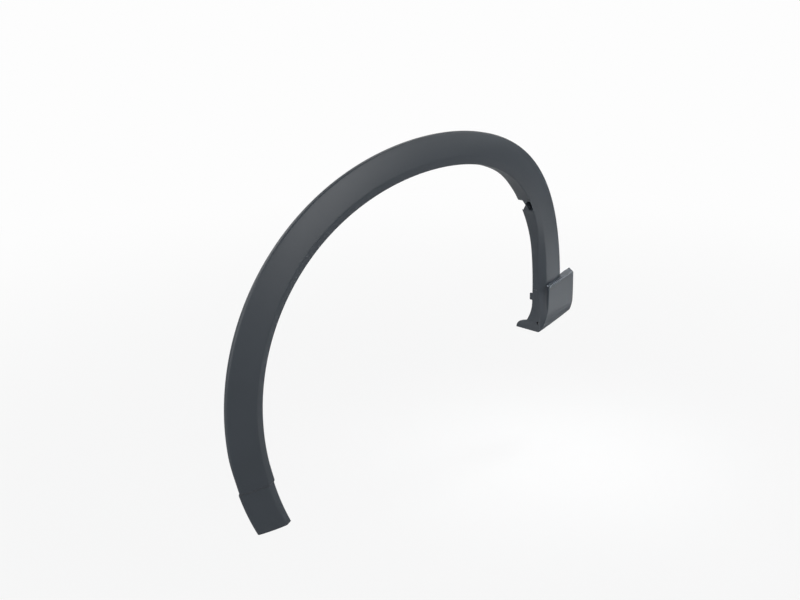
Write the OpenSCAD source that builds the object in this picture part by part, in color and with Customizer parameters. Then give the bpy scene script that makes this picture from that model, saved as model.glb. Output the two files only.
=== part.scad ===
// Wheel arch trim: one injection moulding that frames a wheel opening.
//
// Every point of the moulding is placed in arch coordinates [t, a, h]:
//   t  angle round the wheel centre, 0 at the right-hand leg, 90 at the crown,
//   a  distance outward from the crease that runs along the face,
//   h  depth inboard, away from the visible side.
// A thin-walled channel section is swept along t. The section changes on the way
// into a raised end pad and foot on the right and a joggled tab on the left.
// +X runs along the vehicle, +Y inboard, +Z up. The origin is the centre of the
// clip seat at the crown.

/* [Arch] */
// Radius of the crease between face and chamfer
crease_r = 385; // [360:1:410]
// How far the two shoulders stand out of a true circle
squareness = 10; // [4:0.5:14]
// Bow of the arch in plan, one crease radius from the middle
plan_bow = 48; // [30:1:60]
// How much more the right-hand leg bows than the left
plan_twist = 22; // [10:1:30]
// Angle of the right-hand end, at the inner corner of the foot
foot_end = -6.2; // [-7:0.1:-5.8]
// Angle of the left-hand end, at the inner corner of the tab
tab_end = 205.5; // [200:0.5:209]

/* [Section] */
// Wall thickness of the moulding
wall = 2.8; // [2.2:0.1:3.2]
// Width of the face, from the crease to the outer edge
face_w = 41; // [36:0.5:48]
// Crown of the face above a straight line
face_crown = 1; // [0.4:0.1:1.8]
// Depth of the outer edge behind the crease, at the crown of the arch
edge_drop = 8; // [5:0.5:11]
// How much deeper the outer edge lies on the left leg, and shallower on the right
drop_swing = 12; // [8:0.5:14]
// Depth of the lip turned in along the outer edge
lip_d = 7; // [5:0.5:9]
// Radius of the outer edge
edge_r = 2.5; // [1.5:0.1:3]
// Radius of the crease
crease_soft_r = 3; // [1.5:0.1:4]
// Width of the chamfer inside the crease
chamfer_w = 14; // [11:0.5:16]
// Depth of the chamfer
chamfer_d = 3; // [2:0.5:5]
// How much deeper the chamfer is above the end pad
steepening = 8; // [4:0.5:9]
// Depth of the return flange, from the crease to its free edge
flange_d = 25; // [22:0.5:30]
// Extra depth of the return flange round the notch
flange_swell = 7; // [4:0.5:9]

/* [End pad and foot] */
// Angle of the pad's top wall
pad_top = 8.3; // [8:0.1:9]
// How far the pad's face stands in front of the crease, at its inner edge
pad_proud = 11.4; // [10:0.2:13]
// How much further it stands out at its outer edge
pad_flare = 4.6; // [2:0.2:6]
// Radius at which the pad's face curls back, at its inner edge
pad_curl_r = 105; // [100:1:130]
// The same radius at its outer edge
pad_curl_r_out = 79; // [75:1:100]
// Angle at which the face starts to curl back, at its inner edge
pad_curl = 2; // [1:0.1:2.5]
// The same angle at its outer edge
pad_curl_out = -1.5; // [-2:0.1:-1]
// Inset of the pad's inner edge from the crease, at the top
pad_in_top = 7; // [5:0.5:9]
// The same inset at the bottom
pad_in_end = 10; // [8:0.2:10]
// Outer edge of the pad's face, from the crease
pad_w = 70; // [64:1:80]
// How far the pad's side wall splays outward
pad_splay = 13.5; // [8:0.5:18]
// Depth of the pad's side wall behind the crease
pad_back = 4; // [3:0.5:9]
// Reach of the foot behind the crease
foot_reach = 62; // [52:1:66]
// Angle of the foot's upper edge
foot_top = -3.4; // [-3.8:0.1:-3]
// Depth of the fillet between flange and foot
foot_fillet = 12; // [8:0.5:14]

/* [Tab] */
// Angle of the joggle
joggle_t = 192; // [188:0.5:194]
// Step of the joggle, inboard
joggle_d = 4; // [3:0.25:5]
// Depth of the return flange and lip along the tab
tab_lip = 3.6; // [3.5:0.1:5]
// How far the tab's inner edge draws in towards the end
tab_inset = 3.5; // [2:0.5:5]

/* [Clip seats] */
// Number of clip seats to the left of the crown
seats_left = 3; // [2:1:3]
// Angle between clip seats
seat_pitch = 25.8; // [25.6:0.1:26]
// Length of a clip seat along the arch
seat_len = 24; // [20:1:28]
// Width of a clip seat across the face
seat_w = 22; // [18:1:24]
// Middle of the clip seats, from the crease
seat_a = 20; // [18:0.5:22]
// Height of a plain clip seat above the back of the face
seat_rise = 9.5; // [8:0.5:12]
// Thickness of the clip seat's plate and legs
seat_wall = 2.2; // [1.8:0.1:2.6]
// Diameter of the keyhole
key_d = 7; // [6:0.1:8]
// Width of the keyhole's slot
key_slot = 4; // [3:0.1:4.5]
// Length of the keyhole's slot, from the middle of its round end
key_reach = 24.5; // [23:0.5:26]
// Depth of the clip pocket's plate, behind the crease
pocket_d = 17.8; // [17:0.2:19]

/* [Flange openings] */
// Angle at which the clip pocket's window starts
window_from = 36.7; // [36:0.1:37]
// Angle at which the window ends
window_to = 41.2; // [41:0.1:42]
// Depth at which the window starts
window_h = 3.5; // [3:0.5:6]
// Length of the web across the window's upper corner
web_len = 10.6; // [8:0.2:12]
// Depth of that web
web_d = 9.6; // [8:0.2:11]
// Length of the floor of the notch above the pocket
notch_floor = 14; // [12:0.5:16]
// Slope of the notch's lower side, in degrees
notch_slope = 38; // [34:1:45]
// Angle of the pair of catch holes near the pad
catch_t = 7.1; // [6.6:0.1:7.4]
// Size of one catch hole
catch_hole = 2.4; // [2:0.1:3]
// Depth of the nearer catch hole
catch_h = 16; // [14:0.5:17]
// Distance between the two catch holes
catch_gap = 4.6; // [4:0.1:6]
// Middle of the stop tab on the flange's free edge
stop_t = 4.6; // [4:0.1:5]
// Length of the stop tab
stop_len = 14; // [10:1:16]
// How far the stop tab stands out of the flange's free edge
stop_h = 6; // [4:0.5:8]

/* [Foot screw] */
// Diameter of the screw hole through the foot's inner wall
screw_d = 6; // [5:0.1:7]
// Angle of the screw hole
screw_t = -3.4; // [-3.6:0.1:-3]
// Depth of the screw hole behind the crease
screw_h = 8; // [7:0.5:10]
// Diameter of the boss round the screw hole
boss_d = 13; // [11:0.5:14]
// Height of the boss
boss_h = 2; // [1:0.5:3]

/* [Hidden] */
plastic = "#3f4347";

// Rise of the outer corner above the inner one, in degrees of arch
foot_skew = 5.7;
pad_skew = 1.6;
joggle_skew = -0.7;
tab_skew = -2.2;
band_w = chamfer_w + face_w;
pad_reach = chamfer_w + pad_w;
// Stretches of arch over which the end shapes come and go
skew_fade = 11;
joggle_half = 0.6;
flange_fade = [176, 189];
lip_fade = [182, 190];
steep_rise = [0, 7];
steep_fall = [14, 33];
hollow_span = 10;
hollow_share = 0.2;
swell_rise = [21, 43];
swell_fall = [47, 64];
fillet_span = 6;
nose_lean = 4;
plate_curve = 2.5;
step_t = 0.05;
band_step = 2.2;
pad_step = 1.2;
foot_step = 0.35;
tab_step = 2.6;
joggle_step = 0.3;
through = 1;
stop_inset = 0.2;
least_r = 0.6;
hole_fn = 48;
wall_t = to_angle(wall);
pocket_t = (window_from + window_to) / 2;
window_len = (window_to - window_from) / to_angle(1);

function to_angle(mm) = mm / crease_r * 180 / PI;
function ramp(u, span) =
    let (f = min(1, max(0, (u - span[0]) / (span[1] - span[0]))))
    f * f * (3 - 2 * f);

// Plan and side view of the crease
function arch_r(t) = crease_r + squareness * sin(3 * t);
function along(t) =
    let (r = arch_r(t))
    let (dr = 3 * squareness * cos(3 * t))
    let (v = [dr * cos(t) - r * sin(t), dr * sin(t) + r * cos(t)])
    v / norm(v);
function outward(t) = let (v = along(t)) [v[1], -v[0]];
function plan_y(x) = plan_bow * pow(x / crease_r, 2) + plan_twist * pow(x / crease_r, 3);
function from_hub(t, a, h) =
    let (n = outward(t))
    let (x = arch_r(t) * cos(t))
    [x + n[0] * a, plan_y(x) + h, arch_r(t) * sin(t) + n[1] * a];

// Depth of the face at a distance a outward from the crease
function drop(t) = edge_drop - drop_swing * cos(t);
function face_h(t, a) = let (f = a / face_w) drop(t) * f - 4 * face_crown * f * (1 - f);
function seat_h(t) = face_h(t, seat_a) + wall + seat_rise;

// Everything is measured from the clip seat at the crown
datum = from_hub(90, seat_a, seat_h(90));
function at(t, a, h) = from_hub(t, a, h) - datum;
pocket_y = at(pocket_t, seat_a, pocket_d)[1];

// Angle by which a point of a raked section moves along the arch
skew_table = [
    [foot_end, foot_skew / pad_reach],
    [pad_top, pad_skew / pad_reach],
    [pad_top + skew_fade, 0],
    [joggle_t - skew_fade, 0],
    [joggle_t, joggle_skew / band_w],
    [tab_end, tab_skew / band_w]
];
function section_pt(u, p) = at(u + lookup(u, skew_table) * (p[0] + chamfer_w), p[0], p[1]);

// Free edge of the return flange: swell at the notch, fillet and foot, fade at the tab
function foot_edge(u) =
    let (v = (u - foot_end) / (foot_top - foot_end))
    let (nose = foot_reach - nose_lean * v)
    nose + (flange_d + foot_fillet - nose) * pow(v, 4);
function band_edge(u) =
    let (swell = flange_swell * (ramp(u, swell_rise) - ramp(u, swell_fall)))
    let (fillet = foot_fillet * pow(1 - min(1, (u - foot_top) / fillet_span), 2))
    let (fade = ramp(u, flange_fade) * (flange_d - chamfer_d - tab_lip))
    flange_d + swell + fillet - fade;
function free_edge(u) = u < foot_top ? foot_edge(u) : band_edge(u);

// Depth of the chamfer, which steepens down the right-hand leg
function chamfer_h(u) = chamfer_d + steepening * ramp(u, steep_rise) * (1 - ramp(u, steep_fall));

// Sharp corners of the outer skin, from the lip's free edge to the flange's free edge
face_shares = [0.75, 0.5, 0.25];
function band_corners(u) =
    let (step = joggle_d * ramp(u, [joggle_t - joggle_half, joggle_t + joggle_half]))
    let (lip = lip_d - (lip_d - tab_lip) * ramp(u, lip_fade))
    let (inset = tab_inset * max(0, (u - joggle_t) / (tab_end - joggle_t)))
    [
        [face_w, drop(u) + lip + step],
        [face_w, drop(u) + step],
        for (f = face_shares) [face_w * f, face_h(u, face_w * f) + step],
        [0, step],
        [inset - chamfer_w, chamfer_h(u) + step],
        [inset - chamfer_w, free_edge(u) + step]
    ];
function mix(p, q, f) = p + (q - p) * f;
function pad_in(u) = -mix(pad_in_top, pad_in_end, (pad_top - u) / (pad_top - foot_end));
// At the top the pad's inner wall starts from the crease, and it straightens further down
function pad_hollow(u, front, back) =
    mix([0, 0], mix(front, back, hollow_share), ramp(pad_top - u, [0, hollow_span]));
// Depth of the pad's face at a share of its width, from the inner edge to the outer one
pad_shares = [1, 0.7, 0.35, 0];
function pad_face(u, f) =
    let (r = mix(pad_curl_r, pad_curl_r_out, f))
    let (below = max(0, mix(pad_curl, pad_curl_out, f) - u) / to_angle(1))
    pow(below, 2) / (2 * r) - pad_proud - pad_flare * pow(f, 2);
function pad_corners(u) =
    let (a = pad_in(u))
    [
        [pad_w + pad_splay, pad_back],
        for (f = pad_shares) [mix(a, pad_w, f), pad_face(u, f)],
        pad_hollow(u, [a, pad_face(u, 0)], [-chamfer_w, chamfer_h(u)]),
        [-chamfer_w, chamfer_h(u)],
        [-chamfer_w, free_edge(u)]
    ];
corner_r = [0, edge_r, 0, 0, 0, crease_soft_r, edge_r, 0];

// The same chain of corners moved inward by the wall thickness
function unit(v) = v / norm(v);
function inward(p, q) = let (d = unit(q - p)) [d[1], -d[0]];
function mitre(m, n) = (m + n) / (1 + m * n);
function inset_chain(c) =
    [
        for (i = [0 : len(c) - 1])
            let (before = i > 0 ? inward(c[i - 1], c[i]) : inward(c[0], c[1]))
            let (after = i < len(c) - 1 ? inward(c[i], c[i + 1]) : before)
            c[i] + wall * mitre(before, after)
    ];

// Each corner with a radius becomes a short curve of three points
function corner_curve(p, q, s, r) =
    let (reach = min(r, 0.45 * norm(p - q), 0.45 * norm(s - q)))
    let (a = q + unit(p - q) * reach)
    let (b = q + unit(s - q) * reach)
    [a, (a + 2 * q + b) / 4, b];
function rounded(c, shrink) =
    [
        for (i = [0 : len(c) - 1])
            each corner_r[i] == 0
                ? [c[i]]
                : corner_curve(c[i - 1], c[i], c[i + 1], max(least_r, corner_r[i] - shrink))
    ];

// The end plate closes the pad from below: its inboard edge runs in a curve to the foot
function plate_h(u, a) =
    let (s = (pad_w + pad_splay - a) / (pad_w + pad_splay + chamfer_w))
    pad_back + (free_edge(u) - pad_back) * pow(max(0, s), plate_curve);
function plate_chain(u, c) =
    [
        for (i = [0 : len(c) - 1])
            let (a = c[i][0] + wall / 2)
            i < len(c) - 1 ? [a, plate_h(u, a)] : [c[i][0] + wall / 4, c[i][1]]
    ];

function outer_skin(u) = rounded(u <= pad_top ? pad_corners(u) : band_corners(u), 0);
function inner_skin(u) =
    rounded(inset_chain(u <= pad_top - wall_t ? pad_corners(u) : band_corners(u)), wall);
function inner_chain(u) =
    u <= foot_end + wall_t ? plate_chain(u, inner_skin(u)) : inner_skin(u);

// Stations along the arch: close together where the section changes quickly
stations = [
    foot_end,
    foot_end + wall_t,
    foot_end + wall_t + step_t,
    for (u = [foot_end + wall_t + foot_step : foot_step : foot_top + foot_step]) u,
    for (u = [foot_top + 2 * foot_step : pad_step : pad_top - wall_t - pad_step / 2]) u,
    pad_top - wall_t,
    pad_top - wall_t + step_t,
    pad_top,
    pad_top + step_t,
    for (u = [pad_top + band_step : band_step : joggle_t - joggle_half - band_step / 2]) u,
    for (u = [joggle_t - joggle_half : joggle_step : joggle_t + joggle_half]) u,
    for (u = [joggle_t + joggle_half + tab_step : tab_step : tab_end - tab_step / 2]) u,
    tab_end
];

function quad(a, b, c, d) = [[a, b, c], [a, c, d]];

module channel() {
    rings = [for (u = stations) [each outer_skin(u), each inner_chain(u)]];
    n = len(corner_r) + 2 * len([for (r = corner_r) if (r > 0) r]);
    m = 2 * n;
    count = len(stations);
    last = (count - 1) * m;
    points = [
        for (i = [0 : count - 1])
            each [for (p = rings[i]) section_pt(stations[i], p)]
    ];
    outer = [
        for (i = [0 : count - 2], k = [0 : n - 2])
            each quad(i * m + k, i * m + k + 1, i * m + m + k + 1, i * m + m + k)
    ];
    inner = [
        for (i = [0 : count - 2], k = [n : m - 2])
            each quad(i * m + k + 1, i * m + k, i * m + m + k, i * m + m + k + 1)
    ];
    edges = [
        for (i = [0 : count - 2])
            each concat(
                quad(i * m + n, i * m, i * m + m, i * m + m + n),
                quad(i * m + n - 1, i * m + m - 1, i * m + 2 * m - 1, i * m + m + n - 1)
            )
    ];
    caps = [
        for (k = [0 : n - 2])
            each concat(
                quad(k, n + k, n + k + 1, k + 1),
                quad(last + k, last + k + 1, last + n + k + 1, last + n + k)
            )
    ];
    polyhedron(points, concat(outer, inner, edges, caps));
}

// Local frame on the arch: first axis outward, second inboard, third along the arch
module on_arch(t, a, h) {
    o = at(t, a, h);
    n = outward(t);
    v = along(t);
    multmatrix([[n[0], 0, v[0], o[0]], [0, 1, 0, o[1]], [n[1], 0, v[1], o[2]]]) children();
}

// A clip seat: a plate on two legs that follow the back of the face, between two distances
// from the crease and up to a depth at the plate
module clip_seat(t, length, span, depth) {
    top = at(t, seat_a, depth)[1];
    half = length / 2;
    // Each entry is a place along the arch and the height of the plate there, or the face
    profile = [
        [-half, -1],
        [-half, 0],
        [half, 0],
        [half, -1],
        [half - seat_wall, -1],
        [half - seat_wall, seat_wall],
        [seat_wall - half, seat_wall],
        [seat_wall - half, -1]
    ];
    n = len(profile);
    points = [
        for (a = span, p = profile)
            let (u = t + to_angle(p[0]))
            let (foot = at(u, a, face_h(u, a) + wall / 2))
            p[1] < 0 ? foot : [foot[0], top - p[1], foot[2]]
    ];
    around = [for (k = [0 : n - 1]) each quad(k, n + k, n + (k + 1) % n, (k + 1) % n)];
    near = concat(quad(0, 1, 6, 7), quad(1, 2, 5, 6), quad(2, 3, 4, 5));
    far = [for (f = near) [n + f[2], n + f[1], n + f[0]]];
    polyhedron(points, concat(around, near, far));
}

module plain_seat(t) {
    clip_seat(t, seat_len, [seat_a - seat_w / 2, seat_a + seat_w / 2], seat_h(t));
}

// The clip pocket runs inward to the return flange, where the window opens into it
module clip_pocket() {
    span = [wall / 2 - chamfer_w, seat_a + seat_w / 2];
    clip_seat(pocket_t, window_len + 2 * seat_wall, span, pocket_d);
}

module keyhole(t, y) {
    p = at(t, seat_a, 0);
    on_arch(t, seat_a, y - p[1]) {
        rotate([90, 0, 0])
            translate([0, 0, -through])
                cylinder(d = key_d, h = seat_wall + 2 * through, $fn = hole_fn);
        translate([-key_reach, -seat_wall - through, -key_slot / 2])
            cube([key_reach, seat_wall + 2 * through, key_slot]);
    }
}

// A place on the return flange, along the arch and inboard from its start at an angle
function flange_pt(mid, t, h) =
    let (d = at(t, -chamfer_w, h) - at(mid, -chamfer_w, 0))
    let (v = along(mid))
    [d[0] * v[0] + d[2] * v[1], d[1]];

// An outline of such places, cut through the flange
module flange_cut(mid, outline) {
    on_arch(mid, 2 * wall - chamfer_w, 0)
        rotate([0, -90, 0])
            linear_extrude(3 * wall) polygon(outline);
}

module window_and_notch() {
    beyond = flange_d + flange_swell + 2 * through;
    plate = pocket_y - at(pocket_t, -chamfer_w, 0)[1];
    under = plate - seat_wall;
    low = flange_pt(pocket_t, window_from, window_h);
    high = flange_pt(pocket_t, window_to, window_h);
    sloping = (beyond - plate) / tan(notch_slope);
    flange_cut(pocket_t, [
        low,
        high,
        [high[0], under - web_d],
        [high[0] - web_len, under],
        [low[0], under]
    ]);
    flange_cut(pocket_t, [
        [high[0], plate],
        [high[0], beyond],
        [high[0] - notch_floor - sloping, beyond],
        [high[0] - notch_floor, plate]
    ]);
}

module catch_holes() {
    half = catch_hole / 2;
    for (h = [catch_h, catch_h + catch_gap])
        flange_cut(catch_t, [
            [-half, h - half],
            [half, h - half],
            [half, h + half],
            [-half, h + half]
        ]);
}

module stop_tab() {
    on_arch(stop_t, -chamfer_w, flange_d)
        translate([stop_inset, -stop_h, -stop_len / 2])
            cube([wall - 2 * stop_inset, 2 * stop_h, stop_len]);
}

module screw_boss() {
    on_arch(screw_t, wall / 2 - chamfer_w, screw_h)
        rotate([0, 90, 0])
            cylinder(d = boss_d, h = wall / 2 + boss_h, $fn = hole_fn);
}

module screw_hole() {
    on_arch(screw_t, -chamfer_w, screw_h)
        rotate([0, 90, 0])
            translate([0, 0, -through])
                cylinder(d = screw_d, h = wall + boss_h + 2 * through, $fn = hole_fn);
}

// The lowest clip seat on the right is the pocket; the others stand clear of the flange
key_t = 90 - 2 * seat_pitch;
plain_seats = [for (i = [-1 : seats_left]) 90 + i * seat_pitch];

module arch_trim() {
    color(plastic)
        difference() {
            union() {
                channel();
                for (t = plain_seats) plain_seat(t);
                clip_pocket();
                stop_tab();
                screw_boss();
            }
            for (t = plain_seats) keyhole(t, at(t, seat_a, seat_h(t))[1]);
            keyhole(key_t, pocket_y);
            window_and_notch();
            catch_holes();
            screw_hole();
        }
}

arch_trim();
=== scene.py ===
# Wheel arch trim: one injection moulding in grained dark grey polypropylene.
# The moulding is swept along the arch from the same sizes as the solid model, in metres,
# with finer stations and real edge radii. Places on it are given in arch coordinates:
#   t  angle round the wheel centre in degrees, 0 at the right-hand leg, 90 at the crown,
#   a  distance outward from the crease that runs along the face,
#   h  depth inboard, away from the visible side.
# In the names of sizes T, A and H are such places, R is a radius, W a width and D a depth or a
# diameter.
from math import cos, degrees, pi, radians, sin, tan

import bmesh
import bpy
from mathutils import Matrix, Vector


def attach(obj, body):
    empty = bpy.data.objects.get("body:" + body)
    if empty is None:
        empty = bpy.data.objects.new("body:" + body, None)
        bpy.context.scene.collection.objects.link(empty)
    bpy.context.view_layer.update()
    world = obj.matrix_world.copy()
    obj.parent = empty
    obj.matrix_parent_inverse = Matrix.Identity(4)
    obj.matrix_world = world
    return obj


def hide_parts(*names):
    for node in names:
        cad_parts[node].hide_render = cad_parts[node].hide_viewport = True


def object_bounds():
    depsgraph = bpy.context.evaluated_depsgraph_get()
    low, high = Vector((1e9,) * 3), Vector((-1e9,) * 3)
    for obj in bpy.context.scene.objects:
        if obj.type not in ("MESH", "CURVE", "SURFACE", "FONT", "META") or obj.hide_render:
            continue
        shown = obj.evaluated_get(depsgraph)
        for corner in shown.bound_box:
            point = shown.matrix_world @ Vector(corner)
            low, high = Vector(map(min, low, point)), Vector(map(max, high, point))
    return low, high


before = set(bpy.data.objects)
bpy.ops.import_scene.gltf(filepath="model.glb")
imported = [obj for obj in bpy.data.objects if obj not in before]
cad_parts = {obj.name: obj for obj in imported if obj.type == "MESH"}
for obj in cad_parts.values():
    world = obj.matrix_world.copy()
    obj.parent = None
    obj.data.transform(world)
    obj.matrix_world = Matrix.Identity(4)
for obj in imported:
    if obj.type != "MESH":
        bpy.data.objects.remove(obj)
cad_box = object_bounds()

# Arch
CREASE_R = 0.385
SQUARENESS = 0.010
SQUARE_WAVES = 3
PLAN_BOW = 0.048
PLAN_TWIST = 0.022
FOOT_END = -6.2
TAB_END = 205.5

# Section. A pair named rise, fall or fade holds the angles where a smooth change starts and
# ends on the way from the right-hand leg to the left-hand one.
WALL = 0.0028
FACE_W = 0.041
FACE_CROWN = 0.001
EDGE_DROP = 0.008
DROP_SWING = 0.012
LIP_D = 0.007
EDGE_R = 0.0025
CREASE_SOFT_R = 0.003
CHAMFER_W = 0.014
CHAMFER_D = 0.003
STEEPENING = 0.008
STEEP_RISE = (0, 7)
STEEP_FALL = (14, 33)
FLANGE_D = 0.025
FLANGE_SWELL = 0.007
SWELL_RISE = (21, 43)
SWELL_FALL = (47, 64)

# End pad and foot
# Pairs are for the inner and the outer edge of the pad's face, or for its top and bottom
PAD_TOP = 8.3
PAD_PROUD = 0.0114
PAD_FLARE = 0.0046
PAD_CURL_R = (0.105, 0.079)
PAD_CURL = (2, -1.5)
PAD_IN = (0.007, 0.010)
PAD_W = 0.070
PAD_SPLAY = 0.0135
PAD_BACK = 0.004
HOLLOW_SPAN = 10
HOLLOW_SHARE = 0.2
PAD_EDGE_R = 0.0022
FOOT_REACH = 0.062
FOOT_TOP = -3.4
FOOT_FILLET = 0.012
FILLET_SPAN = 6
NOSE_LEAN = 0.004
NOSE_CURVE = 4
PLATE_CURVE = 2.5

# Tab
JOGGLE_T = 192
JOGGLE_HALF = 0.6
JOGGLE_D = 0.004
TAB_LIP = 0.0036
LIP_FADE = (182, 190)
FLANGE_FADE = (176, 189)
TAB_INSET = 0.0035

# Clip seats, and the pocket behind the window, which holds the lowest clip on the right
CROWN_T = 90
SEAT_PITCH = 25.8
SEAT_PLACES = [CROWN_T + turn * SEAT_PITCH for turn in range(-1, 4)]
POCKET_KEY_T = CROWN_T - 2 * SEAT_PITCH
SEAT_LEN = 0.024
SEAT_W = 0.022
SEAT_A = 0.020
SEAT_RISE = 0.0095
SEAT_WALL = 0.0022
KEY_D = 0.007
KEY_SLOT = 0.004
KEY_REACH = 0.0245
POCKET_D = 0.0178

# Openings, stop tab and foot screw
WINDOW = (36.7, 41.2)
WINDOW_H = 0.0035
WINDOW_R = 0.0008
WEB_LEN = 0.0106
WEB_D = 0.0096
NOTCH_FLOOR = 0.014
NOTCH_SLOPE = radians(38)
CATCH_T = 7.1
CATCH_HOLE = 0.0024
CATCH_H = 0.016
CATCH_GAP = 0.0046
STOP_T = 4.6
STOP_LEN = 0.014
STOP_H = 0.006
STOP_R = 0.0015
STOP_INSET = 0.0002
SCREW_D = 0.006
SCREW_T = -3.4
SCREW_H = 0.008
BOSS_D = 0.013
BOSS_H = 0.002
THROUGH = 0.001

# Rake of the sections near the two ends, as degrees of arch for each metre outward
BAND_W = CHAMFER_W + FACE_W
PAD_REACH = CHAMFER_W + PAD_W
SKEW_FADE = 11
SKEW = [
    (FOOT_END, 5.7 / PAD_REACH),
    (PAD_TOP, 1.6 / PAD_REACH),
    (PAD_TOP + SKEW_FADE, 0),
    (JOGGLE_T - SKEW_FADE, 0),
    (JOGGLE_T, -0.7 / BAND_W),
    (TAB_END, -2.2 / BAND_W),
]

# How finely the moulding is drawn
BAND_STEP = 0.6
PAD_STEP = 0.4
FOOT_STEP = 0.15
FOOT_MARGIN = 1
JOGGLE_STEP = 0.1
TINY_TURN = 0.03
FACE_POINTS = 9
CORNER_POINTS = 6
CORNER_SHARE = 0.45
EDGE_STEPS = 4
RIM_SHARE = 0.35
RIM_TURNS = (30, 60)
HOLE_SIDES = 48
LEAST_R = 0.0006
SHARP_ANGLE = radians(32)

# The finish: the etched grain is about 0.4 mm wide and is drawn at 1.1 mm, so that it shows, and
# the tone drifts along the flow of the melt, a hand's width across
GRAIN_MM = 1.1
FLOW_MM = 90
GRAIN_DEPTH = 0.0001

# The view, worked out from the outline of the arch in an 800 by 600 picture
LENS_MM = 46.89
SENSOR_MM = 36
VIEW_AZIMUTH = radians(-45.59)
VIEW_ELEVATION = radians(18.16)
VIEW_ROLL = radians(-0.85)
VIEW_DISTANCE = 1.8
VIEW_ASIDE = -0.0768
VIEW_LIFT = 0.1291

# The room
FLOOR_GAP = 0.16
FLOOR_SIZE = 120
FLOOR_LIFT = 0.88
FLOOR_FADE = (0.9, 3)
ROOM_WHITE = "#fdfdfd"
ROOM_LIGHT = 0.19
ARCH_MIDDLE = (0, 0, -0.3)
LEG_MIDDLE = (0.42, 0, -0.42)
PAD_EDGE = (0.46, -0.03, -0.48)
PAD_BOTTOM = (0.44, 0, -0.54)

# Softboxes: name, place, aim, power in watts, side in metres and spread in degrees. Large ones
# stand in front of the arch, at its left and behind it. Smaller ones on the right bring out the
# right-hand leg, and two narrow ones the top edge and the bottom of its pad, as in the photo.
SOFTBOXES = [
    ("front_light", (0.3, -2.9, 1.1), ARCH_MIDDLE, 63, 1.8, 180),
    ("left_light", (-2.6, -1.6, 0.8), ARCH_MIDDLE, 21, 1.8, 180),
    ("left_back_light", (-2.8, 0.8, 0.6), ARCH_MIDDLE, 46, 1.8, 180),
    ("back_light", (-0.6, 3.0, 1.2), ARCH_MIDDLE, 44, 1.8, 180),
    ("top_back_light", (1.8, 1.8, 2.2), ARCH_MIDDLE, 26, 1.8, 180),
    ("ledge_light", (2.2, -0.8, 1.2), LEG_MIDDLE, 10, 1.2, 180),
    ("pad_top_light", (0.76, -0.37, 1.2), PAD_EDGE, 1.1, 0.4, 26),
    ("right_leg_light", (1.5, -0.4, 0.4), LEG_MIDDLE, 6, 0.8, 180),
    ("pad_light", (0.9, -0.5, -0.68), PAD_BOTTOM, 0.22, 0.3, 50),
]


def to_angle(length):
    return degrees(length / CREASE_R)


def ramp(u, first, last):
    share = min(1, max(0, (u - first) / (last - first)))
    return share * share * (3 - 2 * share)


def between(u, table):
    """The value of a table of (angle, value) rows at an angle, straight between the rows."""
    if u <= table[0][0]:
        return table[0][1]
    for (low, start), (high, stop) in zip(table, table[1:]):
        if u <= high:
            return start + (stop - start) * (u - low) / (high - low)
    return table[-1][1]


def arch_r(t):
    return CREASE_R + SQUARENESS * sin(radians(SQUARE_WAVES * t))


def along(t):
    turn = radians(t)
    r = arch_r(t)
    growth = SQUARE_WAVES * SQUARENESS * cos(SQUARE_WAVES * turn)
    x = growth * cos(turn) - r * sin(turn)
    z = growth * sin(turn) + r * cos(turn)
    return Vector((x, z)).normalized()


def outward(t):
    way = along(t)
    return Vector((way[1], -way[0]))


def plan_y(x):
    return PLAN_BOW * (x / CREASE_R) ** 2 + PLAN_TWIST * (x / CREASE_R) ** 3


def from_hub(t, a, h):
    away = outward(t)
    x = arch_r(t) * cos(radians(t))
    return Vector((x + away[0] * a, plan_y(x) + h, arch_r(t) * sin(radians(t)) + away[1] * a))


def drop(t):
    return EDGE_DROP - DROP_SWING * cos(radians(t))


def face_h(t, a):
    share = a / FACE_W
    return drop(t) * share - 4 * FACE_CROWN * share * (1 - share)


def seat_h(t):
    return face_h(t, SEAT_A) + WALL + SEAT_RISE


# The part's origin is the middle of the top of the clip seat at the crown
DATUM = from_hub(CROWN_T, SEAT_A, seat_h(CROWN_T))


def at(t, a, h):
    return from_hub(t, a, h) - DATUM


POCKET_T = sum(WINDOW) / 2
POCKET_Y = at(POCKET_T, SEAT_A, POCKET_D)[1]


def section_point(u, p):
    return at(u + between(u, SKEW) * (p[0] + CHAMFER_W), p[0], p[1])


def free_edge(u):
    """Depth of the return flange: a swell at the window, a fillet and foot, a fade at the tab."""
    if u < FOOT_TOP:
        share = (u - FOOT_END) / (FOOT_TOP - FOOT_END)
        nose = FOOT_REACH - NOSE_LEAN * share
        return nose + (FLANGE_D + FOOT_FILLET - nose) * share ** NOSE_CURVE
    swell = FLANGE_SWELL * (ramp(u, *SWELL_RISE) - ramp(u, *SWELL_FALL))
    fillet = FOOT_FILLET * (1 - min(1, (u - FOOT_TOP) / FILLET_SPAN)) ** 2
    fade = ramp(u, *FLANGE_FADE) * (FLANGE_D - CHAMFER_D - TAB_LIP)
    return FLANGE_D + swell + fillet - fade


def chamfer_h(u):
    return CHAMFER_D + STEEPENING * ramp(u, *STEEP_RISE) * (1 - ramp(u, *STEEP_FALL))


def band_corners(u):
    step = JOGGLE_D * ramp(u, JOGGLE_T - JOGGLE_HALF, JOGGLE_T + JOGGLE_HALF)
    lip = LIP_D - (LIP_D - TAB_LIP) * ramp(u, *LIP_FADE)
    inset = TAB_INSET * max(0, (u - JOGGLE_T) / (TAB_END - JOGGLE_T))
    shares = [1 - (k + 1) / (FACE_POINTS + 1) for k in range(FACE_POINTS)]
    return [
        Vector((FACE_W, drop(u) + lip + step)),
        Vector((FACE_W, drop(u) + step)),
        *[Vector((FACE_W * share, face_h(u, FACE_W * share) + step)) for share in shares],
        Vector((0, step)),
        Vector((inset - CHAMFER_W, chamfer_h(u) + step)),
        Vector((inset - CHAMFER_W, free_edge(u) + step)),
    ]


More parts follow.
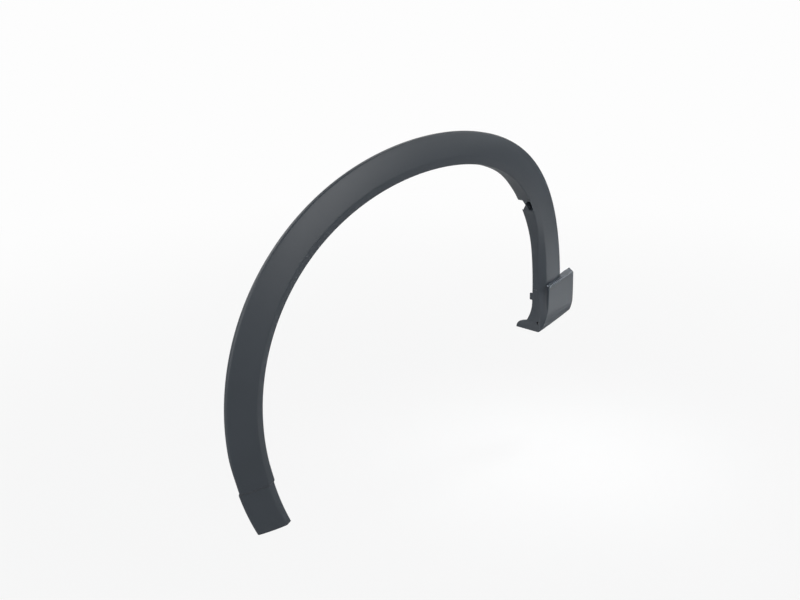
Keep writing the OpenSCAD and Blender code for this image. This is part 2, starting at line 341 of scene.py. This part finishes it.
def mix(p, q, share):
    return p + (q - p) * share


def pad_face(u, share):
    """Depth of the pad's face at a share of its width, from the inner edge to the outer one."""
    below = max(0, mix(*PAD_CURL, share) - u) / to_angle(1)
    return below ** 2 / (2 * mix(*PAD_CURL_R, share)) - PAD_PROUD - PAD_FLARE * share ** 2


def pad_corners(u, ease):
    """The pad's corners, drawn in by ease where its top and bottom edges are rounded."""
    inner = -mix(*PAD_IN, (PAD_TOP - u) / (PAD_TOP - FOOT_END))
    shares = [1 - k / FACE_POINTS for k in range(FACE_POINTS + 1)]
    front = Vector((inner, pad_face(u, 0) + ease))
    back = Vector((-CHAMFER_W, max(chamfer_h(u), front[1] + LEAST_R)))
    # At the top the inner wall starts from the crease, and it straightens further down
    hollow = mix(Vector((0, 0)), mix(front, back, HOLLOW_SHARE), ramp(PAD_TOP - u, 0, HOLLOW_SPAN))
    return [
        Vector((PAD_W + PAD_SPLAY - ease, PAD_BACK)),
        *[Vector((mix(inner, PAD_W - ease / 2, f), pad_face(u, f) + ease)) for f in shares],
        hollow,
        back,
        Vector((-CHAMFER_W, free_edge(u))),
    ]


# A radius for each corner of a section, none where the skin runs on
CORNER_R = [0, EDGE_R, *[0] * (FACE_POINTS - 1), PAD_EDGE_R, CREASE_SOFT_R, EDGE_R, 0]


def inward(p, q):
    way = (q - p).normalized()
    return Vector((way[1], -way[0]))


def inset_chain(chain):
    """The same chain of corners, moved inward by the wall thickness."""
    moved = []
    for i, point in enumerate(chain):
        before = inward(chain[i - 1], point) if i > 0 else inward(chain[0], chain[1])
        after = inward(point, chain[i + 1]) if i < len(chain) - 1 else before
        moved.append(point + WALL * (before + after) / (1 + before.dot(after)))
    return moved


def corner_curve(before, corner, after, r):
    shorter = min((before - corner).length, (after - corner).length)
    reach = min(r, CORNER_SHARE * shorter)
    first = corner + (before - corner).normalized() * reach
    last = corner + (after - corner).normalized() * reach
    shares = [k / CORNER_POINTS for k in range(CORNER_POINTS + 1)]
    return [first * (1 - s) ** 2 + corner * 2 * s * (1 - s) + last * s ** 2 for s in shares]


def rounded(chain, shrink):
    points = []
    for i, corner in enumerate(chain):
        if CORNER_R[i] == 0:
            points.append(corner)
        else:
            r = max(LEAST_R, CORNER_R[i] - shrink)
            points.extend(corner_curve(chain[i - 1], corner, chain[i + 1], r))
    return points


def plate_h(u, a):
    share = (PAD_W + PAD_SPLAY - a) / (PAD_W + PAD_SPLAY + CHAMFER_W)
    return PAD_BACK + (free_edge(u) - PAD_BACK) * max(0, share) ** PLATE_CURVE


def plate_chain(u, chain, ease):
    """Inboard edge of the end plate that closes the pad from below."""
    edge = [Vector((p[0] + WALL / 2 - ease, plate_h(u, p[0] + WALL / 2))) for p in chain[:-1]]
    return [*edge, Vector((chain[-1][0] + WALL / 4, chain[-1][1]))]


def rim(outer, before, inner):
    """Rounds the free edge of a wall.

    Gives the outer skin's new end, the points of the rim and the inner skin's new end."""
    way = (outer - before).normalized()
    across = (inner - outer).normalized()
    r = RIM_SHARE * (inner - outer).length
    arc = [(r * (1 - cos(radians(q))), r * (1 - sin(radians(q)))) for q in RIM_TURNS]
    near = [outer + across * side - way * back for side, back in arc]
    far = [inner - across * side - way * back for side, back in reversed(arc)]
    return outer - way * r, [*near, outer + across * r, inner - across * r, *far], inner - way * r


def skin_corners(kind, u, ease):
    return band_corners(u) if kind == "band" else pad_corners(u, ease)


def section(u, ease, inner_kind, outer_kind):
    """One closed loop of points round the moulding's wall at an angle."""
    outer = rounded(skin_corners(outer_kind, u, ease), 0)
    inner = rounded(inset_chain(skin_corners(inner_kind, u, 0)), WALL)
    if inner_kind == "plate":
        inner = plate_chain(u, inner, ease)
    outer[-1], flange_rim, inner[-1] = rim(outer[-1], outer[-2], inner[-1])
    outer[0], lip_rim, inner[0] = rim(outer[0], outer[1], inner[0])
    loop = [*outer, *flange_rim, *reversed(inner), *reversed(lip_rim)]
    return [section_point(u, p) for p in loop]


def angles(first, last, step):
    """Angles from first to last, both included, at about the step."""
    count = max(1, round(abs(last - first) / step))
    return [first + (last - first) * k / count for k in range(count + 1)]


def eased_edge(edge, way):
    """Angles and draw-in of a rounded edge that ends at the angle edge, way being 1 or -1."""
    turns = [pi / 2 * k / EDGE_STEPS for k in range(EDGE_STEPS + 1)]
    reach = way * to_angle(PAD_EDGE_R)
    return [(edge - reach * (1 - sin(q)), PAD_EDGE_R * (1 - cos(q))) for q in turns]


def stations():
    """Every section of the sweep: angle, draw-in, form of the inner skin and of the outer one.

    At the pad's bottom the inner skin is the edge of the end plate, and at its top it is already
    that of the band, so that both walls are closed."""
    plate_top = FOOT_END + to_angle(WALL)
    ledge_back = PAD_TOP - to_angle(WALL)
    rows = [(u, ease, "plate", "pad") for u, ease in reversed(eased_edge(FOOT_END, -1))]
    rows.append((plate_top, 0, "plate", "pad"))
    above_foot = FOOT_TOP + FOOT_MARGIN
    pad = [
        *angles(plate_top + TINY_TURN, above_foot, FOOT_STEP),
        *angles(above_foot, ledge_back, PAD_STEP)[1:],
    ]
    rows += [(u, 0, "pad", "pad") for u in pad]
    rows.append((ledge_back + TINY_TURN, 0, "band", "pad"))
    rows += [(u, ease, "band", "pad") for u, ease in eased_edge(PAD_TOP, 1)]
    before = JOGGLE_T - JOGGLE_HALF
    after = JOGGLE_T + JOGGLE_HALF
    band = [
        *angles(PAD_TOP + TINY_TURN, before, BAND_STEP),
        *angles(before, after, JOGGLE_STEP)[1:],
        *angles(after, TAB_END, BAND_STEP)[1:],
    ]
    return rows + [(u, 0, "band", "band") for u in band]


def add_faces(shape, points, faces):
    corners = [shape.verts.new(p) for p in points]
    for face in faces:
        shape.faces.new([corners[k] for k in face])


def channel():
    """The thin-walled channel with its pad, foot and tab, as one closed mesh."""
    rings = [section(*row) for row in stations()]
    size = len(rings[0])
    skin = len(rounded(band_corners(JOGGLE_T), 0))
    rim_size = len(RIM_TURNS) * 2 + 2
    inner = skin + rim_size
    points = [p for ring in rings for p in ring]
    faces = []
    for i in range(len(rings) - 1):
        base = i * size
        for k in range(size):
            after = (k + 1) % size
            faces.append((base + k, base + after, base + size + after, base + size + k))
    last = (len(rings) - 1) * size
    for base, turned in ((0, False), (last, True)):
        # An end is a strip of quads across the wall, with one larger face at each rim
        strip = [(k, k + 1, inner + skin - 2 - k, inner + skin - 1 - k) for k in range(skin - 1)]
        strip.append(tuple(range(skin - 1, inner + 1)))
        strip.append(tuple([*range(inner + skin - 1, size), 0]))
        for face in strip:
            ordered = face if turned else tuple(reversed(face))
            faces.append(tuple(base + k for k in ordered))
    shape = bmesh.new()
    add_faces(shape, points, faces)
    return shape


def local_frame(t, a, h):
    """A place on the arch with its outward and along directions, as 3D vectors."""
    away = outward(t)
    way = along(t)
    return at(t, a, h), Vector((away[0], 0, away[1])), Vector((way[0], 0, way[1]))


INBOARD = Vector((0, 1, 0))


def prism(shape, outline, place, first, second, depth):
    """A flat outline in the plane of first and second, pulled along the depth vector."""
    count = len(outline)
    near = [place + first * p[0] + second * p[1] for p in outline]
    faces = [(k, (k + 1) % count, count + (k + 1) % count, count + k) for k in range(count)]
    faces += [tuple(reversed(range(count))), tuple(range(count, 2 * count))]
    add_faces(shape, [*near, *[p + depth for p in near]], faces)


def soft_outline(corners, r):
    """A polygon with each corner turned into a short curve."""
    points = []
    for i, corner in enumerate(corners):
        before = Vector(corners[i - 1])
        after = Vector(corners[(i + 1) % len(corners)])
        points.extend(corner_curve(before, Vector(corner), after, r))
    return points


def circle(r):
    turns = [2 * pi * k / HOLE_SIDES for k in range(HOLE_SIDES)]
    return [Vector((r * cos(q), r * sin(q))) for q in turns]


def keyhole_outline():
    """A round hole with a slot towards the inner side of the arch."""
    half = KEY_SLOT / 2
    rounds = [p for p in circle(KEY_D / 2) if p[0] > 0 or abs(p[1]) > half]
    rounds.sort(key=lambda p: -((degrees(Vector((-1, 0)).angle_signed(p)) - 180) % 360))
    side = half if rounds[-1][1] > 0 else -half
    return [*rounds, Vector((-KEY_REACH, side)), Vector((-KEY_REACH, -side))]


def clip_seat(shape, t, length, span, depth_at):
    """A plate on two legs that follow the back of the face, between two distances outward."""
    top = at(t, SEAT_A, depth_at)[1]
    half = length / 2
    # Each corner is a distance along the arch and a depth from the top of the plate towards the
    # face, and foot stands for the depth at which a leg ends inside the wall of the face
    foot = None
    profile = [
        (-half, foot),
        (-half, 0),
        (half, 0),
        (half, foot),
        (half - SEAT_WALL, foot),
        (half - SEAT_WALL, SEAT_WALL),
        (SEAT_WALL - half, SEAT_WALL),
        (SEAT_WALL - half, foot),
    ]
    count = len(profile)
    points = []
    for a in span:
        for reach, depth in profile:
            u = t + to_angle(reach)
            base = at(u, a, face_h(u, a) + WALL / 2)
            points.append(base if depth is foot else Vector((base[0], top - depth, base[2])))
    faces = [(k, count + k, count + (k + 1) % count, (k + 1) % count) for k in range(count)]
    near = [(0, 1, 6, 7), (1, 2, 5, 6), (2, 3, 4, 5)]
    faces += near + [tuple(count + k for k in reversed(face)) for face in near]
    add_faces(shape, points, faces)


def added_features():
    """What stands on the channel: clip seats, stop tab and screw boss."""
    shape = bmesh.new()
    outer_end = SEAT_A + SEAT_W / 2
    for t in SEAT_PLACES:
        clip_seat(shape, t, SEAT_LEN, (SEAT_A - SEAT_W / 2, outer_end), seat_h(t))
    length = (WINDOW[1] - WINDOW[0]) / to_angle(1) + 2 * SEAT_WALL
    clip_seat(shape, POCKET_T, length, (WALL / 2 - CHAMFER_W, outer_end), POCKET_D)
    place, away, way = local_frame(STOP_T, -CHAMFER_W, FLANGE_D)
    half = STOP_LEN / 2
    tab = [(-STOP_H, -half), (STOP_H, -half), (STOP_H, half), (-STOP_H, half)]
    depth = away * (WALL - 2 * STOP_INSET)
    prism(shape, soft_outline(tab, STOP_R), place + away * STOP_INSET, INBOARD, way, depth)
    place, away, way = local_frame(SCREW_T, WALL / 2 - CHAMFER_W, SCREW_H)
    prism(shape, circle(BOSS_D / 2), place, INBOARD, way, away * (WALL / 2 + BOSS_H))
    return shape


def flange_point(mid, t, h):
    """A place on the return flange: how far it lies along the arch, and inboard, from the start
    of the flange at the angle mid."""
    offset = at(t, -CHAMFER_W, h) - at(mid, -CHAMFER_W, 0)
    way = along(mid)
    return offset[0] * way[0] + offset[2] * way[1], offset[1]


def flange_cut(shape, mid, outline):
    """Adds a cutter that goes through the flange, from an outline of such places."""
    place, away, way = local_frame(mid, -CHAMFER_W, 0)
    soft = soft_outline(outline, WINDOW_R)
    prism(shape, soft, place - away * WALL, way, INBOARD, away * 3 * WALL)


def window_and_notch(shape):
    beyond = FLANGE_D + FLANGE_SWELL + 2 * THROUGH
    plate = POCKET_Y - at(POCKET_T, -CHAMFER_W, 0)[1]
    under = plate - SEAT_WALL
    low = flange_point(POCKET_T, WINDOW[0], WINDOW_H)
    high = flange_point(POCKET_T, WINDOW[1], WINDOW_H)
    web = [(high[0], under - WEB_D), (high[0] - WEB_LEN, under)]
    flange_cut(shape, POCKET_T, [low, high, *web, (low[0], under)])
    foot = high[0] - NOTCH_FLOOR
    slope = (foot - (beyond - plate) / tan(NOTCH_SLOPE), beyond)
    flange_cut(shape, POCKET_T, [(high[0], plate), (high[0], beyond), slope, (foot, plate)])


def keyhole(shape, t, y):
    place, away, way = local_frame(t, SEAT_A, 0)
    place[1] = y - SEAT_WALL - THROUGH
    prism(shape, keyhole_outline(), place, away, way, INBOARD * (SEAT_WALL + 2 * THROUGH))


def removed_features():
    """What is cut out: keyholes, window and notch, catch holes and screw hole."""
    shape = bmesh.new()
    for t in SEAT_PLACES:
        keyhole(shape, t, at(t, SEAT_A, seat_h(t))[1])
    keyhole(shape, POCKET_KEY_T, POCKET_Y)
    window_and_notch(shape)
    half = CATCH_HOLE / 2
    for h in (CATCH_H, CATCH_H + CATCH_GAP):
        hole = [(-half, h - half), (half, h - half), (half, h + half), (-half, h + half)]
        flange_cut(shape, CATCH_T, hole)
    place, away, way = local_frame(SCREW_T, -CHAMFER_W, SCREW_H)
    depth = away * (WALL + BOSS_H + 2 * THROUGH)
    prism(shape, circle(SCREW_D / 2), place - away * THROUGH, INBOARD, way, depth)
    return shape


def to_object(name, shape):
    bmesh.ops.recalc_face_normals(shape, faces=shape.faces)
    mesh = bpy.data.meshes.new(name)
    shape.to_mesh(mesh)
    shape.free()
    thing = bpy.data.objects.new(name, mesh)
    bpy.context.scene.collection.objects.link(thing)
    return thing


def combine(body, tool, operation):
    """Joins a tool shape to the body or cuts it away, and keeps the result as the body's mesh."""
    step = body.modifiers.new(operation, "BOOLEAN")
    step.object = tool
    step.operation = operation
    step.solver = "MANIFOLD"
    graph = bpy.context.evaluated_depsgraph_get()
    result = bpy.data.meshes.new_from_object(body.evaluated_get(graph))
    body.modifiers.clear()
    old = body.data
    body.data = result
    bpy.data.meshes.remove(old)
    bpy.data.objects.remove(tool)


def moulding():
    body = to_object("arch_trim_moulding", channel())
    combine(body, to_object("added", added_features()), "UNION")
    combine(body, to_object("removed", removed_features()), "DIFFERENCE")
    for face in body.data.polygons:
        face.use_smooth = True
    body.data.set_sharp_from_angle(angle=SHARP_ANGLE)
    return body


def linear(code):
    """An sRGB hex colour as the linear colour that the shaders take."""
    parts = [int(code[k : k + 2], 16) / 255 for k in (1, 3, 5)]
    return [*[c / 12.92 if c <= 0.04045 else ((c + 0.055) / 1.055) ** 2.4 for c in parts], 1]


def add_node(tree, kind, settings=(), values=(), links=()):
    """Adds a node with its settings, its input values and the outputs that feed its inputs."""
    node = tree.nodes.new(kind)
    for name, value in dict(settings).items():
        setattr(node, name, value)
    for name, value in dict(values).items():
        node.inputs[name].default_value = value
    for name, output in dict(links).items():
        tree.links.new(output, node.inputs[name])
    return node


def new_material(name):
    material = bpy.data.materials.new(name)
    material.use_nodes = True
    material.node_tree.nodes.clear()
    return material, material.node_tree


def waves_in_a_metre(size_mm):
    return 1000 / size_mm


def grained_polypropylene():
    """Talc-filled polypropylene, injection moulded against an etched tool: near black grey,
    matt, with a fine grain that scatters the light and a soft sheen at a flat angle."""
    material, tree = new_material("grained_polypropylene")
    place = add_node(tree, "ShaderNodeTexCoord").outputs["Object"]
    grain = add_node(
        tree,
        "ShaderNodeTexNoise",
        values={"Scale": waves_in_a_metre(GRAIN_MM), "Detail": 3, "Roughness": 0.6},
        links={"Vector": place},
    )
    flow = add_node(
        tree,
        "ShaderNodeTexNoise",
        values={"Scale": waves_in_a_metre(FLOW_MM), "Detail": 2},
        links={"Vector": place},
    )
    tone = add_node(
        tree,
        "ShaderNodeMix",
        settings={"data_type": "RGBA"},
        values={6: linear("#2a3036"), 7: linear("#30363d")},
        links={0: flow.outputs["Fac"]},
    )
    sheen = add_node(
        tree,
        "ShaderNodeMapRange",
        values={"From Min": 0.3, "From Max": 0.7, "To Min": 0.46, "To Max": 0.54},
        links={"Value": grain.outputs["Fac"]},
    )
    relief = add_node(
        tree,
        "ShaderNodeBump",
        values={"Strength": 0.25, "Distance": GRAIN_DEPTH},
        links={"Height": grain.outputs["Fac"]},
    )
    plastic = add_node(
        tree,
        "ShaderNodeBsdfPrincipled",
        values={"IOR": 1.49},
        links={
            "Base Color": tone.outputs[2],
            "Roughness": sheen.outputs["Result"],
            "Normal": relief.outputs["Normal"],
        },
    )
    add_node(tree, "ShaderNodeOutputMaterial", links={"Surface": plastic.outputs["BSDF"]})
    return material


def painted_floor():
    """Matt studio paint, even, with nothing in it but the soft shadow. To the camera it is
    lifted near the white of the room, fully so away from the arch, where no shadow falls."""
    material, tree = new_material("matt_floor_paint")
    paint = add_node(
        tree,
        "ShaderNodeBsdfPrincipled",
        values={"Base Color": linear("#b4b5b6"), "Roughness": 0.9, "Specular IOR Level": 0},
    )
    white = add_node(
        tree, "ShaderNodeEmission", values={"Color": linear(ROOM_WHITE), "Strength": 1}
    )
    place = add_node(tree, "ShaderNodeTexCoord")
    away = add_node(
        tree,
        "ShaderNodeVectorMath",
        settings={"operation": "LENGTH"},
        links={0: place.outputs["Object"]},
    )
    lift = add_node(
        tree,
        "ShaderNodeMapRange",
        settings={"interpolation_type": "SMOOTHSTEP"},
        values={
            "From Min": FLOOR_FADE[0],
            "From Max": FLOOR_FADE[1],
            "To Min": FLOOR_LIFT,
            "To Max": 1,
        },
        links={"Value": away.outputs["Value"]},
    )
    path = add_node(tree, "ShaderNodeLightPath")
    share = add_node(
        tree,
        "ShaderNodeMath",
        settings={"operation": "MULTIPLY"},
        links={0: path.outputs["Is Camera Ray"], 1: lift.outputs["Result"]},
    )
    seen = add_node(
        tree,
        "ShaderNodeMixShader",
        links={0: share.outputs[0], 1: paint.outputs["BSDF"], 2: white.outputs[0]},
    )
    add_node(tree, "ShaderNodeOutputMaterial", links={"Surface": seen.outputs[0]})
    return material


def lay_floor():
    low = cad_box[0][2] - FLOOR_GAP
    half = FLOOR_SIZE / 2
    shape = bmesh.new()
    corners = [(-half, -half, low), (half, -half, low), (half, half, low), (-half, half, low)]
    add_faces(shape, [Vector(p) for p in corners], [(0, 1, 2, 3)])
    floor = to_object("floor", shape)
    floor.data.materials.append(painted_floor())


def light_world():
    world = bpy.data.worlds.new("soft_room")
    bpy.context.scene.world = world
    world.use_nodes = True
    tree = world.node_tree
    tree.nodes.clear()
    path = add_node(tree, "ShaderNodeLightPath")
    room = add_node(
        tree,
        "ShaderNodeBackground",
        values={"Color": linear("#ffffff"), "Strength": ROOM_LIGHT},
    )
    seen = add_node(
        tree, "ShaderNodeBackground", values={"Color": linear(ROOM_WHITE), "Strength": 1}
    )
    mixed = add_node(
        tree,
        "ShaderNodeMixShader",
        links={0: path.outputs["Is Camera Ray"], 1: room.outputs[0], 2: seen.outputs[0]},
    )
    add_node(tree, "ShaderNodeOutputWorld", links={"Surface": mixed.outputs[0]})


def softbox(name, place, aim, power, side, spread):
    lamp = bpy.data.lights.new(name, "AREA")
    lamp.shape = "SQUARE"
    lamp.size = side
    lamp.energy = power
    lamp.spread = radians(spread)
    thing = bpy.data.objects.new(name, lamp)
    thing.location = place
    way = Vector(aim) - Vector(place)
    thing.rotation_euler = way.to_track_quat("-Z", "Y").to_euler()
    bpy.context.scene.collection.objects.link(thing)


def place_camera():
    across = Vector((cos(VIEW_AZIMUTH), sin(VIEW_AZIMUTH), 0))
    flat = cos(VIEW_ELEVATION)
    back = Vector((sin(VIEW_AZIMUTH) * flat, -cos(VIEW_AZIMUTH) * flat, sin(VIEW_ELEVATION)))
    up = back.cross(across)
    right = across * cos(VIEW_ROLL) + up * sin(VIEW_ROLL)
    top = up * cos(VIEW_ROLL) - across * sin(VIEW_ROLL)
    eye = right * VIEW_ASIDE + top * VIEW_LIFT + back * VIEW_DISTANCE - DATUM
    data = bpy.data.cameras.new("camera")
    data.lens = LENS_MM
    data.sensor_width = SENSOR_MM
    data.clip_end = 2 * FLOOR_SIZE
    camera = bpy.data.objects.new("camera", data)
    turned = Matrix((right, top, back)).transposed().to_4x4()
    camera.matrix_world = Matrix.Translation(eye) @ turned
    bpy.context.scene.collection.objects.link(camera)
    bpy.context.scene.camera = camera


trim = moulding()
trim.data.materials.clear()
trim.data.materials.append(grained_polypropylene())
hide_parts("arch_trim")
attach(trim, "root")

lay_floor()
light_world()
for box in SOFTBOXES:
    softbox(*box)
place_camera()
bpy.context.scene.view_settings.view_transform = "Standard"
